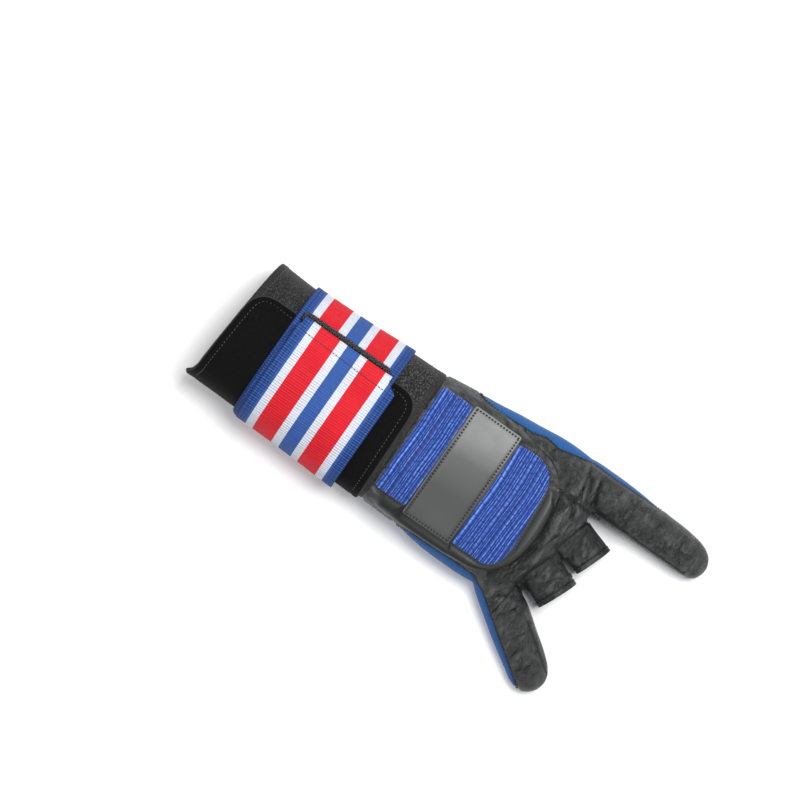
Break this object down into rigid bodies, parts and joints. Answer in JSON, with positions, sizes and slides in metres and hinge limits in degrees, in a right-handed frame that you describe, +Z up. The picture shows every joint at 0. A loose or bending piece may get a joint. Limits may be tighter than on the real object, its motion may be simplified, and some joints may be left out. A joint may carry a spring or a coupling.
{
  "type": "bowling glove",
  "caption": "Right-hand bowling glove: leather back with ribbed elastic bands, stretch fabric palm, whole and open fingers, stiff wrist cuff and striped wrap strap.",
  "frame": {"origin": "on the flat underside of the palm at the wrist, where the glove rests", "axes": "+X along the hand to the fingertips, +Y to the thumb side, +Z up out of the back of the hand"},
  "size_m": [0.3097, 0.1339, 0.0641],
  "materials": {
    "stretch_fabric": "blue stretch knit",
    "black_leather": "creased black leather",
    "smooth_leather": "smooth satin black leather over padding",
    "ribbed_elastic": "ribbed blue elastic",
    "label_patch": "plain satin grey-black patch",
    "grained_cuff": "stippled charcoal loop fabric over a stiff wall",
    "flap_velour": "matt near-black velour",
    "striped_webbing": "cross-ribbed webbing with red, white and blue stripes",
    "coated_wire": "textured black coating"
  },
  "bodies": {
    "root": {"palm_panel": "stretch_fabric", "hand_back": "black_leather", "index_finger_back": "black_leather", "little_finger_back": "black_leather", "middle_finger_sleeve": "black_leather", "ring_finger_sleeve": "black_leather", "padded_frame": "smooth_leather", "wrist_elastic": "ribbed_elastic", "knuckle_elastic": "ribbed_elastic", "back_label": "label_patch", "wrist_cuff": "grained_cuff", "closing_flap": "flap_velour", "wrap_strap_under": "striped_webbing", "wrap_strap_over": "striped_webbing", "strap_ring": "coated_wire"}
  },
  "joints": []
}
